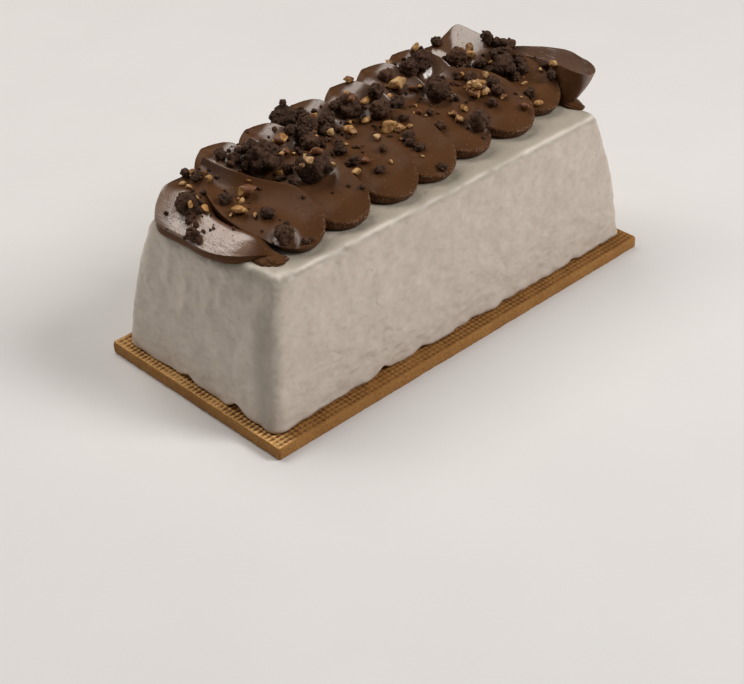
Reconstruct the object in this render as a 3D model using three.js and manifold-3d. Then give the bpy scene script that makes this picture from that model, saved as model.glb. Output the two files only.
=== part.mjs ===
// A family-size semifreddo: a glazed loaf on a thin biscuit, topped with chocolate cream piped to and fro
// in overlapping petals and with a crumble of cocoa crumbs and chopped nuts.
// Millimetres, +Z up, +X along the loaf, origin at the middle of the biscuit's underside.
import * as THREE from "three";
import { mergeVertices } from "three/addons/utils/BufferGeometryUtils.js";
import Module from "manifold-3d";

// Driving dimensions
const GAP = 0.3; // air left between pieces that rest on each other
const WELD = 1e-3; // points closer than this are one point
const BISCUIT = { length: 200, width: 95, thick: 5, corner: 2.5, bevel: 0.6 };
const LOAF = {
  bottom: { length: 193, width: 85, x: 0.7, y: 2.2 }, // x and y: how far its middle lies off the biscuit's
  top: { length: 173, width: 68, x: 0, y: 1.2 },
  height: 56.1,
  bulge: 1.6, // how far the walls stand out at half height
  corner: 6, // radius of the upright corners
  edge: 5.5, // radius of the edge round the top
  foot: 5, // width of the band under the lower edge that the glaze leaves uneven
  drip: 2.2, // how far the uneven lower edge stands above the biscuit at most
  wave: 0.5, // how far the walls swell and sink
};
const LOAF_TOP = BISCUIT.thick + GAP + LOAF.height;
const CREAM_BASE = LOAF_TOP + GAP;

// A petal of cream runs from its round nose at one long side to its tail at the other.
// Each list below holds one value at evenly spaced stations from the nose's middle to the tail:
// mid is the shift of the middle line along the loaf, half the half width, and rear, floor and front
// are heights above the cream's base at the rear rim, the middle and the front rim.
const RIGHT_PETAL = {
  side: -1,
  reach: 45,
  mid: [0, -1.5, -2.7, -6, -5.5],
  half: [11, 14, 13, 8, 3.5],
  rear: [11, 13, 14, 14.5, 16],
  floor: [7, 5.5, 5.5, 7, 12],
  front: [5, 5, 6, 8, 11],
  noseRoll: 0.25,
  noseInset: 2.5,
  undercut: { rear: 2.5, front: 1.5 },
};
const LEFT_PETAL = {
  side: 1,
  reach: 26,
  mid: [0, 2, 5, 8, 10],
  half: [9, 9.5, 9, 7, 4],
  rear: [18, 16.5, 12, 7, 4],
  floor: [13, 11.5, 8, 5, 3.5],
  front: [14, 11, 8, 5, 3.5],
  noseRoll: 0.85,
  noseInset: 3,
  undercut: { rear: 2.5, front: 1.5 },
};
const PITCH = 21; // from one petal to the next on the same side
const RIGHT_NOSE = { x: -61.5, y: -17.5 }; // middle of the nearest right nose
const RIGHT_DRIFT = [0, 0, 4, 4, 4, 3, 2]; // what the hand adds along the loaf, petal by petal
const RIGHT_SWAY = [0, -0.5, 0, 0.5, 2.5, 0, 2]; // and what it adds across
const LEFT_NOSE = { x: -60, y: 25.5 };
const LEFT_DRIFT = [0, 0, 4, 1, -3.5, -3.5, -2.5];
const LEFT_SWAY = [0, 0, 1.5, 1.5, 3, 3.5, 2.5];
// The first and the last turns differ from the rest.
const LAST_RIGHT_FRONT = [6, 6.5, 9.5, 12, 15]; // the front rim that no other petal covers
const FAR_LEFT_PETAL = {
  side: 1,
  reach: 30,
  nose: { x: 77.5, y: 30.5 },
  mid: [0, 0.5, 1.5, 3, 5],
  half: [5, 5.5, 6, 5, 4],
  rear: [20, 18, 17, 16, 15.5],
  floor: [15, 13.5, 12.5, 12, 12],
  front: [16, 13, 11, 9, 8],
  noseRoll: 0.9,
  noseInset: 3,
  undercut: { rear: 4, front: -2 },
};
const FAR_RIGHT_PETAL = {
  side: -1,
  reach: 36,
  nose: { x: 89.5, y: -22.5 },
  mid: [0, 2, 3, 0, -8],
  half: [4.5, 4.6, 4.6, 4.4, 4],
  rear: [16, 16, 16, 16.5, 17],
  floor: [15, 14.2, 14.2, 15, 16],
  front: [15.5, 15, 15, 15.5, 16],
  noseRoll: 0.95,
  noseInset: 6,
  undercut: { rear: 9, front: -9 },
};
const NEAR_PETAL = {
  side: 1,
  reach: 50,
  nose: { x: -81.5, y: 21.3 },
  mid: [0, -3, -4, -0.5, 7],
  half: [10.5, 9, 9, 8.5, 1.5],
  rear: [11, 6, 4, 3, 1.2],
  floor: [8, 6.5, 6, 5.5, 1.5],
  front: [5, 4.5, 4.5, 4, 1.2],
  noseRoll: 0.6,
  noseInset: 2.5,
  undercut: { rear: 2, front: 2.5 },
};

// The crumble lies on the cream. Each entry is a place along and across the loaf and a longest size.
const COCOA_CRUMBS = [
  [-82, 17, 9],
  [-70, -21, 8],
  [-48, 14, 13],
  [-39, -3, 11],
  [-21, 32, 10],
  [-26, 13, 7],
  [-20, 21, 8],
  [-14, 16, 7],
  [3, 23, 11],
  [38, 25, 8],
  [36, 7, 11],
  [48, 28, 11],
  [35, -16, 8],
  [64, 23, 9],
];
const NUT_CLUSTER = [51, 0, 10];
const NUT_BITS = [
  [-76, 27, 4],
  [-79, 11, 5],
  [-61, 9, 6],
  [-70, 2, 6],
  [-34, 21, 6],
  [-31, 5, 5],
  [-29, -15, 4],
  [-9, 9, 5],
  [5, 15, 5],
  [8, 6, 6],
  [11, 3, 5],
  [10, 21, 5],
  [28, 20, 7],
  [32, 15, 4],
  [34, -7, 7],
  [56, -21, 5],
  [65, -19, 4],
  [72, -6, 4],
  [68, 18, 5],
  [71, 23, 4],
  [87, -8, 5],
];
const SMALL_CRUMBS = [
  [-91, 2, 6],
  [-69, 11, 6],
  [-56, 22, 6],
  [-65, -6, 5],
  [-15, 7, 6],
  [21, 27, 6],
  [27, 29, 5],
  [70, 8, 6],
  [68, -14, 6],
  [75, 6, 5],
  [82, 22, 6],
  [83, 12, 6],
];
// The finest bits that still show are strewn along the same trail by a seeded draw.
const STREWN = { seed: 7, count: 16, from: -88, to: 86, middle: 9, spread: 15, least: 2.6, most: 3.8 };

const wasm = await Module();
wasm.setup();

// Helpers that make and join closed solids

// The closed solid between rings of equal count, each end filled by a fan round the given point.
function loft(rings, firstCentre, lastCentre) {
  const count = rings[0].length;
  const points = [...rings.flat(), firstCentre, lastCentre];
  const faces = [];
  for (let r = 0; r + 1 < rings.length; r++)
    for (let i = 0; i < count; i++) {
      const j = (i + 1) % count;
      const [a, b, c, d] = [r * count + i, r * count + j, (r + 1) * count + i, (r + 1) * count + j];
      faces.push(a, b, d, a, d, c);
    }
  const last = (rings.length - 1) * count;
  for (let i = 0; i < count; i++) {
    const j = (i + 1) % count;
    faces.push(j, i, points.length - 2, last + i, last + j, points.length - 1);
  }
  const geometry = new THREE.BufferGeometry().setFromPoints(points);
  geometry.setIndex(faces);
  return geometry;
}

function toSolid(geometry) {
  const bare = geometry.clone();
  bare.deleteAttribute("normal");
  bare.deleteAttribute("uv");
  const merged = mergeVertices(bare, WELD);
  const solid = new wasm.Manifold(
    new wasm.Mesh({
      numProp: 3,
      vertProperties: new Float32Array(merged.attributes.position.array),
      triVerts: new Uint32Array(merged.index.array),
    }),
  );
  return solid;
}

function toGeometry(solid) {
  const mesh = solid.getMesh();
  const geometry = new THREE.BufferGeometry();
  geometry.setAttribute("position", new THREE.BufferAttribute(new Float32Array(mesh.vertProperties), 3));
  geometry.setIndex(new THREE.BufferAttribute(new Uint32Array(mesh.triVerts), 1));
  geometry.computeVertexNormals();
  return geometry;
}

// The value at share t of a list of evenly spaced values, on a smooth curve through them.
function along(values, t) {
  const curve = new THREE.SplineCurve(values.map((value, i) => new THREE.Vector2(i, value)));
  return curve.getPoint(t).y;
}

// Chocolate cream

const TOP_STEPS = 6; // steps across a petal's upper face
const BODY_STEPS = 7; // steps along a petal between its round ends
const END_STEPS = 4; // steps round each end
const END_TURN = THREE.MathUtils.degToRad(80); // how far each end turns before its small flat tip
const TAIL_ROLL = 0.6; // share of its height that a petal keeps at the tip of its tail
const DISH_POWER = 1.8; // how the upper face curves from the middle up to a rim
const LIP = 0.8; // how far below a rim the petal is widest
const LIP_INSET = 0.3; // how far a rim's crest lies inside the petal's widest line
const SUNK = 1; // how far a petal's foot is made below the base before the base cuts it

// One cross-section, from the rear foot over the rims to the front foot: x along the loaf, y up.
// At a round end it is squeezed and rolled down, and its floor rises towards the rims.
function petalSection(petal, { t, squeeze, roll }) {
  const half = along(petal.half, t) * squeeze;
  const [rear, low, front] = [petal.rear, petal.floor, petal.front].map((list) => along(list, t) * roll);
  const floor = THREE.MathUtils.lerp((rear + front) / 2, low, squeeze);
  const section = [new THREE.Vector2(half - petal.undercut.rear * squeeze, -SUNK)];
  section.push(new THREE.Vector2(half, rear - LIP));
  for (let i = 0; i <= TOP_STEPS; i++) {
    const across = 1 - (2 * i) / TOP_STEPS; // 1 at the rear rim, -1 at the front rim
    const rim = across > 0 ? rear : front;
    const height = floor + (rim - floor) * Math.abs(across) ** DISH_POWER;
    section.push(new THREE.Vector2(across * (half - LIP_INSET * squeeze), height));
  }
  section.push(new THREE.Vector2(-half, front - LIP));
  section.push(new THREE.Vector2(-half + petal.undercut.front * squeeze, -SUNK));
  return section;
}

// Where the sections stand, from the tip of the tail to the tip of the nose.
function petalStations(petal) {
  const stations = [];
  for (let i = END_STEPS; i > 0; i--) {
    const turn = (END_TURN * i) / END_STEPS;
    const squeeze = Math.cos(turn);
    const past = along(petal.half, 1) * Math.sin(turn);
    stations.push({ t: 1, past, squeeze, roll: THREE.MathUtils.lerp(TAIL_ROLL, 1, squeeze), inset: 0 });
  }
  for (let i = BODY_STEPS; i >= 0; i--) {
    stations.push({ t: i / BODY_STEPS, past: 0, squeeze: 1, roll: 1, inset: 0 });
  }
  for (let i = 1; i <= END_STEPS; i++) {
    const turn = (END_TURN * i) / END_STEPS;
    const squeeze = Math.cos(turn);
    const past = -along(petal.half, 0) * Math.sin(turn);
    const inset = petal.noseInset * Math.sin(turn);
    stations.push({ t: 0, past, squeeze, roll: THREE.MathUtils.lerp(petal.noseRoll, 1, squeeze), inset });
  }
  return stations;
}

// One petal as a loft of sections across it, with both ends rounded in plan.
function petalSolid(petal) {
  const place = (station, point) => {
    const inset = point.y < 0 ? station.inset : 0;
    return new THREE.Vector3(
      petal.nose.x + along(petal.mid, station.t) + point.x,
      petal.nose.y - petal.side * (station.t * petal.reach + station.past + inset),
      CREAM_BASE + point.y,
    );
  };
  const stations = petalStations(petal);
  const ringAt = (station) => petalSection(petal, station).map((point) => place(station, point));
  const rings = stations.map(ringAt);
  const heart = (station) => {
    const up = (along(petal.floor, station.t) * station.roll) / 2;
    return place(station, new THREE.Vector2(0, up));
  };
  const ends = [heart(stations[0]), heart(stations.at(-1))];
  if (petal.side < 0) return toSolid(loft(rings, ...ends));
  return toSolid(loft(rings.map((ring) => ring.reverse()), ...ends));
}

function creamPetals() {
  const right = RIGHT_DRIFT.map((drift, i) => ({
    ...RIGHT_PETAL,
    front: i === 0 ? LAST_RIGHT_FRONT : RIGHT_PETAL.front,
    nose: { x: RIGHT_NOSE.x + i * PITCH + drift, y: RIGHT_NOSE.y + RIGHT_SWAY[i] },
  }));
  const left = LEFT_SWAY.map((sway, i) => ({
    ...LEFT_PETAL,
    nose: { x: LEFT_NOSE.x + i * PITCH + LEFT_DRIFT[i], y: LEFT_NOSE.y + sway },
  }));
  return [...right, ...left, FAR_LEFT_PETAL, FAR_RIGHT_PETAL, NEAR_PETAL];
}

function creamSolid() {
  const whole = creamPetals().map(petalSolid).reduce((sum, petal) => sum.add(petal));
  const below = new THREE.BoxGeometry(2 * BISCUIT.length, 2 * BISCUIT.width, 2 * LOAF.height);
  below.translate(0, 0, CREAM_BASE - LOAF.height);
  return whole.subtract(toSolid(below));
}

// Crumble

const draw = () => THREE.MathUtils.seededRandom();
const LUMP_ROUGHNESS = 0.16; // how far a lump's corners are pushed in and out, as a share of its size
const LUMP_SHAPE = [1, 0.8, 0.85]; // length, width and height of a lump as shares of its longest size
const CRUMB_RISE = 0.25; // how far a lump's middle stands above the cream, as a share of its size
const BIT_RISE = 0.18;

// A rough lump with flat faces, round the origin and turned at random.
function lumpGeometry(size, detail) {
  const ball = new THREE.IcosahedronGeometry(size / 2, detail);
  ball.deleteAttribute("normal");
  ball.deleteAttribute("uv");
  const lump = mergeVertices(ball, WELD);
  const corners = lump.attributes.position;
  const corner = new THREE.Vector3();
  for (let i = 0; i < corners.count; i++) {
    corner.fromBufferAttribute(corners, i).multiplyScalar(1 + LUMP_ROUGHNESS * (2 * draw() - 1));
    corners.setXYZ(i, ...corner);
  }
  lump.scale(...LUMP_SHAPE);
  lump.rotateZ(2 * Math.PI * draw());
  return lump;
}

// The height of a mesh's upper side at a place, or null where it has none.
function heightOn(mesh, x, y) {
  const above = new THREE.Vector3(x, y, 2 * LOAF_TOP);
  const [hit] = new THREE.Raycaster(above, new THREE.Vector3(0, 0, -1)).intersectObject(mesh);
  return hit ? hit.point.z : null;
}

// A lump that stands on the cream, or null past the cream's edge.
function lumpOn(cream, [x, y, size], { detail, rise }) {
  const ground = heightOn(cream, x, y);
  if (ground === null) return null;
  const lump = lumpGeometry(size, detail);
  lump.translate(x, y, ground + rise * size);
  return toSolid(lump);
}

// Places of the finest bits, clear of the large pieces.
function strewnPlaces() {
  const { count, from, to, middle, spread, least, most } = STREWN;
  const large = [...COCOA_CRUMBS, NUT_CLUSTER];
  const places = [];
  for (let i = 0; i < count; i++) {
    const x = THREE.MathUtils.lerp(from, to, (i + draw()) / count);
    const y = middle + spread * (draw() + draw() - 1);
    const size = THREE.MathUtils.lerp(least, most, draw());
    const free = large.every(([cx, cy, big]) => Math.hypot(x - cx, y - cy) > (big + size) / 2 + GAP);
    if (free) places.push([x, y, size]);
  }
  return places;
}

// The largest body of a solid, without scraps and sealed hollows.
function mainBody(solid) {
  const bodies = solid.decompose();
  return bodies.reduce((best, body) => (body.volume() > best.volume() ? body : best));
}

// The cream with the small bits fused to it.
function strewnCream(bare) {
  const ground = new THREE.Mesh(toGeometry(bare));
  const bits = [...NUT_BITS, ...SMALL_CRUMBS, ...strewnPlaces()]
    .map((place) => lumpOn(ground, place, { detail: 0, rise: BIT_RISE }))
    .filter((bit) => bit !== null);
  return mainBody(bits.reduce((sum, bit) => sum.add(bit), bare));
}

// One large piece of the crumble, cut to the cream under it with a little air between them.
function crumbSolid(place, ground, cream) {
  const shifts = [
    [0, 0, GAP],
    [GAP, 0, 0],
    [-GAP, 0, 0],
  ];
  const lump = lumpOn(ground, place, { detail: 1, rise: CRUMB_RISE });
  return mainBody(shifts.reduce((left, shift) => left.subtract(cream.translate(shift)), lump));
}

// Biscuit and loaf

// Points round a rectangle with round corners, evenly spread over its sides and corners.
const SIDE_STEPS = { long: 14, short: 7, corner: 5 };
function roundedRing(length, width, radius, z) {
  const ring = [];
  const corners = [
    [1, 1, 0],
    [-1, 1, 90],
    [-1, -1, 180],
    [1, -1, 270],
  ];
  corners.forEach(([sx, sy, start], c) => {
    const centre = new THREE.Vector2(sx * (length / 2 - radius), sy * (width / 2 - radius));
    const angle = (i) => THREE.MathUtils.degToRad(start + (90 * i) / SIDE_STEPS.corner);
    for (let i = 0; i <= SIDE_STEPS.corner; i++) {
      const onArc = new THREE.Vector2(Math.cos(angle(i)), Math.sin(angle(i)));
      ring.push(onArc.multiplyScalar(radius).add(centre));
    }
    const [nx, ny, nextStart] = corners[(c + 1) % 4];
    const next = THREE.MathUtils.degToRad(nextStart);
    const to = new THREE.Vector2(
      nx * (length / 2 - radius) + radius * Math.cos(next),
      ny * (width / 2 - radius) + radius * Math.sin(next),
    );
    const from = ring.at(-1);
    const steps = c % 2 === 0 ? SIDE_STEPS.long : SIDE_STEPS.short;
    for (let i = 1; i < steps; i++) ring.push(from.clone().lerp(to, i / steps));
  });
  return ring.map((p) => new THREE.Vector3(p.x, p.y, z));
}

function biscuitGeometry() {
  const { length, width, thick, corner, bevel } = BISCUIT;
  const rings = [
    roundedRing(length - 2 * bevel, width - 2 * bevel, corner, 0),
    roundedRing(length, width, corner, bevel),
    roundedRing(length, width, corner, thick - bevel),
    roundedRing(length - 2 * bevel, width - 2 * bevel, corner, thick),
  ];
  return loft(rings, new THREE.Vector3(0, 0, 0), new THREE.Vector3(0, 0, thick));
}

const WALL_STEPS = 7; // rings up the loaf's wall
const EDGE_STEPS = 4; // rings over the rounded top edge

// Waves in the poured glaze: each one's share, its count round the loaf and how far it turns on its way up.
const GLAZE_WAVES = [
  { share: 0.5, count: 9, climb: 2.2 },
  { share: 0.3, count: 17, climb: -5 },
  { share: 0.2, count: 31, climb: 8 },
];

// How the glaze wanders, from -1 to 1, at an angle round the loaf and a share of its height.
function wander(angle, up) {
  const heights = GLAZE_WAVES.map(({ share, count, climb }) => share * Math.sin(count * angle + climb * up));
  return heights.reduce((sum, height) => sum + height);
}

function loafGeometry() {
  const bottom = BISCUIT.thick + GAP;
  const wallTop = LOAF.height - LOAF.edge;
  const ringAt = (up, inset) => {
    const share = up / LOAF.height;
    const size = (key) => THREE.MathUtils.lerp(LOAF.bottom[key], LOAF.top[key], share);
    const out = 2 * (4 * LOAF.bulge * share * (1 - share) - inset);
    const ring = roundedRing(size("length") + out, size("width") + out, LOAF.corner, bottom + up);
    return ring.map((p) => p.add(new THREE.Vector3(size("x"), size("y"), 0)));
  };
  const swell = (ring, up) =>
    ring.forEach((p) => {
      const push = LOAF.wave * wander(Math.atan2(p.y, p.x), up / LOAF.height);
      const out = new THREE.Vector2(p.x, p.y).normalize().multiplyScalar(push);
      p.x += out.x;
      p.y += out.y;
    });
  const rings = [ringAt(0, LOAF.foot)];
  for (let i = 0; i <= WALL_STEPS; i++) {
    const ring = ringAt((wallTop * i) / WALL_STEPS, 0);
    swell(ring, (wallTop * i) / WALL_STEPS);
    if (i === 0) ring.forEach((p) => (p.z += (LOAF.drip * (1 + wander(Math.atan2(p.y, p.x), 0))) / 2));
    rings.push(ring);
  }
  for (let i = 1; i <= EDGE_STEPS; i++) {
    const turn = (Math.PI / 2) * (i / EDGE_STEPS);
    rings.push(ringAt(wallTop + LOAF.edge * Math.sin(turn), LOAF.edge * (1 - Math.cos(turn))));
  }
  return loft(rings, new THREE.Vector3(0, 0, bottom), new THREE.Vector3(0, 0, LOAF_TOP));
}

const BISCUIT_LOOK = new THREE.MeshStandardMaterial({ color: 0xb07a3c, roughness: 0.8, metalness: 0 });
const GLAZE_LOOK = new THREE.MeshStandardMaterial({ color: 0xdad6cb, roughness: 0.45, metalness: 0 });
const CREAM_LOOK = new THREE.MeshStandardMaterial({ color: 0x5f3a26, roughness: 0.4, metalness: 0 });
const CRUMB_LOOK = new THREE.MeshStandardMaterial({ color: 0x2a1c15, roughness: 0.9, metalness: 0 });
const NUT_LOOK = new THREE.MeshStandardMaterial({ color: 0xb98a55, roughness: 0.6, metalness: 0 });

function namedMesh(name, geometry, material) {
  const mesh = new THREE.Mesh(geometry, material);
  mesh.name = name;
  return mesh;
}

const semifreddo = new THREE.Group();
semifreddo.add(namedMesh("biscuit_base", biscuitGeometry(), BISCUIT_LOOK));
semifreddo.add(namedMesh("semifreddo_loaf", loafGeometry(), GLAZE_LOOK));
THREE.MathUtils.seededRandom(STREWN.seed);
const bareCream = creamSolid();
const bareMesh = new THREE.Mesh(toGeometry(bareCream));
const cream = strewnCream(bareCream);
semifreddo.add(namedMesh("chocolate_cream", toGeometry(cream), CREAM_LOOK));
COCOA_CRUMBS.forEach((place, i) => {
  const name = "cocoa_crumb_" + String(i + 1).padStart(2, "0");
  semifreddo.add(namedMesh(name, toGeometry(crumbSolid(place, bareMesh, cream)), CRUMB_LOOK));
});
semifreddo.add(namedMesh("nut_cluster", toGeometry(crumbSolid(NUT_CLUSTER, bareMesh, cream)), NUT_LOOK));

export default semifreddo;
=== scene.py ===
import functools
import math
import random
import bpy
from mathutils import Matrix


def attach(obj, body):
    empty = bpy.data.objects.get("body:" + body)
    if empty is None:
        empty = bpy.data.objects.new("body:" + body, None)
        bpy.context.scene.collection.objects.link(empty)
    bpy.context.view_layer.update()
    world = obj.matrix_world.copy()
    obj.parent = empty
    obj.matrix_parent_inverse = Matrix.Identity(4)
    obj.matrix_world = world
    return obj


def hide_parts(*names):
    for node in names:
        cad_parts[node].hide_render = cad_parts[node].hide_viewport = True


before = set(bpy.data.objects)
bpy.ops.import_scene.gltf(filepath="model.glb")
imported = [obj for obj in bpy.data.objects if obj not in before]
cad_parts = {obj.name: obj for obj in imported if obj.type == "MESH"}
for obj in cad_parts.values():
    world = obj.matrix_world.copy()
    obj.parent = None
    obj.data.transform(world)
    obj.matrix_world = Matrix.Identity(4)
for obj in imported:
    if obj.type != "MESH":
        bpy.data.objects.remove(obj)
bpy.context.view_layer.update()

from types import SimpleNamespace as Values

import bmesh
import bpy
import numpy as np
from mathutils import Matrix, Vector, noise
from mathutils.bvhtree import BVHTree

# A family-size semifreddo: a glazed loaf on a thin biscuit, topped with piped chocolate cream,
# cocoa crumbs and chopped nuts. Sizes are in millimetres here and become metres in each mesh.
# The loaf's near end is at -X, and its right side, seen from there, is at -Y.
MM = 0.001
SEED = 7
TINY = 1e-6

# Driving dimensions of the biscuit. An edge is a place and how far the change there takes.
BISCUIT = Values(length=200, width=95, thick=5, corner=1.2, least_corner=0.3, rise=0.04)
BISCUIT_RING, BISCUIT_STEP = 1900, 0.3  # points in a ring, and the gap between rings on top
# Rings of its lower face and its sides: inset from the outline, and height
BISCUIT_SIDES = [
    (12, 0), (0.9, 0), (0.2, 0.3), (0, 0.9), (0, 1.6), (0, 2.3), (0, 3), (0, 3.7), (0.1, 4.3), (0.35, 4.8),
]
ROUGH_SIDES = Values(foot=0.1, margin=1.5)
# Imprint of a baking mesh
WEAVE = Values(pitch=(2.18, 2.1), depth=0.8, rim=(0.7, 0.9), reach=(10.5, 1.5))
WORN = Values(mean=0.85, least=0.35)  # how much of the imprint is left
RIBS = Values(edge=(91, 4), most=0.25)  # the imprint is more like ribs at the biscuit's ends
DENT_SHADE = Values(gain=2.4, start=0.6)  # how dark the shade painted in the dents of the imprint is
LIT_END = Values(edge=(-90, 6), most=0.9)  # painted light: the near end of the top is coloured paler
SHADED_SIDE = Values(edge=-98, foot=0.7, fade=0.1)  # painted shade on the side of the near end, darkest at its foot

# Driving dimensions of the loaf
LOAF = Values(
    bottom={"length": 193, "width": 85, "x": 0.7, "y": 2.2},
    top={"length": 173, "width": 68, "x": 0, "y": 1.2},
    height=56.1,
    bulge=1.6,
    corner=(7, 7, 4.5, 4),  # far left, near left, near right, far right
    least_corner=0.5,
    edge=3.2,
    end_edge=6.5,  # the top edge of the near end is softer
    end_blend=16,
)
LOAF_RING = 680  # points in a ring
LOAF_STEPS = Values(wall=62, edge=12, top=1.3, middle=0.5)  # counts of rings, and gaps between them
LOAF_UNDER = Values(inset=6, gap=0.05)  # the lower face, just above the biscuit
# Rings that round the glaze's lower edge: inset and rise
LOWER_EDGE = [(1.4, 0.0), (0.7, 0.12), (0.25, 0.45), (0.05, 0.9)]
# How the lower edge rises and falls, where the wall starts, and how soon the rise fades up the wall
LIFT = Values(least=0.1, more=0.5, bias=0.2, wall=1.5, fade=6)
FOOT = Values(flare=0.35, near=0.9, height=3.5)  # the glaze spreads a little where it meets the biscuit
# How the near end bends back towards its right corner
BOW = Values(reach=13, depth=1.1, most=1.2, blend=20)
CORNER_DRIP = Values(place=(-97, -40), reach=6, out=1.3)
# Gaps under the glaze's lower edge: place along and across the loaf, width and height
GAPS = [
    (-96, 7, 8.5, 2.2), (-96, -19.5, 7.5, 2.6), (-42, -41, 5, 2), (-22, -41, 8, 1.2), (24, -41, 7, 1),
    (66, -41, 5, 1.3), (98, 18, 7, 2.2), (98, -20, 6, 1.6), (-60, 45, 6, 2), (-20, 45, 7, 1.4),
    (25, 45, 6, 2.3), (66, 45, 8, 1.5),
]
# Runs of glaze down the ends: place across the loaf, height of the drop's tip, half width and thickness
RUNS = [
    (30, 30, 3.2, 0.7), (20, 36, 3, 0.5), (9.7, 25, 3, 1.0), (-2, 31, 2.6, 0.8), (-9, 38, 2.4, 0.7),
    (-17, 43, 3, 0.5),
]
RUN = Values(tip=5, fade=22)  # heights over which a run rounds off at its tip and thins upwards
BEAD = Values(below=0.9, half=0.55, mean=0.7, most=1.2, out=0.35)  # thin bead along the top edge, coloured lighter as a painted highlight
TEARS = Values(below=7, half=4)  # uneven band under the bead
# How far a face has to turn to count as part of an end or of the top
END_FACE = Values(gain=1.6, start=0.5)
TOP_FACE = Values(gain=2, start=0.6)
HOLLOW = Values(across=-23, up=50, reach=8, depth=3.0)  # under the edge of the near end
CORNER_SHADE = Values(inset=4.8, half=3.6)  # painted shade: a darker band on the near end beside its right corner
LOAF_FOOT = BISCUIT.thick
LOAF_TOP = 61.4
CREAM_BASE = LOAF_TOP - 0.15  # the cream's foot sinks a little into the glaze

# Unevenness: depth, size of the swells, octaves, and where in the noise it starts
SWELLS = {
    "biscuit_worn": (0.5, 9, 2, 15),
    "biscuit_grain": (0.16, 1.6, 3, 0),
    "biscuit_wave": (0.35, (17, 17, 60), 2, 5),
    "biscuit_top": (0.10, 3, 2, 9),
    "lower_edge": (1, (5, 5, 1), 2, 8),
    "glaze_broad": (0.35, 24, 2, 0),
    "glaze_bumps": (0.32, (7.5, 7.5, 5.5), 2, 20),
    "glaze_bead": (0.9, 12, 2, 80),
    "glaze_tears": (0.32, (4.5, 4.5, 14), 1, 120),
    "glaze_drips": (1.2, (12, 12, 30), 2, 100),
    "cream_broad": (0.22, 11, 2, 0),
    "cream_fine": (0.07, 2.6, 2, 30),
    "cream_foot": (0.3, 1.8, 2, 50),
}

# A petal of cream runs from its round nose at one long side to its tail at the other.
# Each list holds one value at evenly spaced stations from the nose's middle to the tail: the shift of the
# middle line along the loaf, the half width, and heights at the rear rim, the middle and the front rim.
RIGHT_PETAL = {
    "side": -1, "reach": 45,
    "mid": [0, -1.5, -2.7, -5.5, -5], "half": [11, 14, 13, 7, 2.5],
    "rear": [10.5, 13, 14.3, 15.5, 17], "floor": [7.6, 9.8, 11, 12.3, 14.5],
    "front": [4.5, 5.3, 6.5, 8.5, 12],
    "tip": 0.5, "nose_roll": 0.43, "nose_long": 1, "nose_inset": 2.5, "undercut": (2.5, 1.5),
}
NEAREST_RIGHT_PETAL = {
    "mid": [-1.6, -2, -5.3, -6.4, -5], "half": [12, 13.5, 10.5, 6, 2],
    "rear": [10.3, 12.2, 13.4, 15.5, 17], "floor": [6.8, 7.5, 8.3, 9.8, 13.5],
    "front": [4.2, 5.3, 8, 10.2, 12],
    "undercut": (2.5, 4.5),
}
LEFT_PETAL = {
    "side": 1, "reach": 26,
    "mid": [0, 2, 5, 8, 10], "half": [9, 9.5, 9, 7, 4],
    "rear": [18, 16.5, 12, 7, 4], "floor": [14.6, 12.6, 8.8, 5, 3.5],
    "front": [11, 9, 7, 5, 3.5],
    "tip": 0.8, "nose_roll": 0.94, "nose_long": 1, "nose_inset": 3, "undercut": (2.5, 1.5),
}
PITCH = 21
RIGHT_NOSE = (-61.5, -17.5)
RIGHT_DRIFT = [0, 0, 4, 4, 6.5, 9, 9]
RIGHT_SWAY = [0.3, -0.5, 0, 0.5, 4, 3, 7.5]
LEFT_NOSE = (-60, 25.5)
LEFT_DRIFT = [0, 0, 3, 3, 0.5, -3, -6]
LEFT_SWAY = [0, 0, 1.5, 1.5, 3, 3.5, 2.5]
LEFT_RISE = [1, 1, 1.05, 1.06, 1.12, 1.13, 0.95]  # heights as a share of the left petal's
FAR_LEFT_PETAL = {
    "side": 1, "reach": 30, "nose": (68, 30.5),
    "mid": [0, 0, 1.5, 5, 9], "half": [8.5, 8.5, 8, 6, 4],
    "rear": [21.5, 20.8, 20, 18, 15.5], "floor": [17.7, 17.1, 16.2, 14.5, 12.7],
    "front": [14, 13.5, 12.5, 11, 10],
    "dish": (1, 1), "lip": 0.5,
    "tip": 0.3, "nose_roll": 1, "nose_long": 0.6, "nose_inset": 4, "nose_power": 0.4, "undercut": (4, 0),
}
FAR_RIGHT_PETAL = {
    "side": -1, "reach": 36, "nose": (89.5, -19),
    "mid": [0, 2, 3, 0, -8], "half": [4.6, 4.8, 4.8, 4.6, 4],
    "rear": [17, 16.8, 15.2, 14, 14.5], "floor": [9.5, 7.5, 7.5, 9, 12],
    "front": [15.3, 14.6, 13.6, 13.5, 14],
    "tip": 0.5, "nose_roll": 0.93, "nose_long": 1.8, "nose_inset": 7.5, "undercut": (10, -3),
    "lip": 0.5,
    "lean": -3.5,  # how far the foot of the nose lies from its middle line
}
NEAR_PETAL = {
    "side": 1, "reach": 47.5, "nose": (-79.5, 22.5),
    "mid": [0, -2.8, -3, -0.5, 5.5], "half": [11, 7.6, 7.2, 6, 1.5],
    "rear": [14.3, 5, 0.8, 0.5, 0.8], "floor": [10.1, 7, 6.5, 6.4, 1.5],
    "front": [5.3, 5.2, 5.1, 4.8, 1.2],
    "dish": (4, 1.2),
    "tip": 0.68, "nose_roll": 0.75, "nose_long": 1, "nose_inset": 2.5, "undercut": (0, 2),
}
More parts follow.
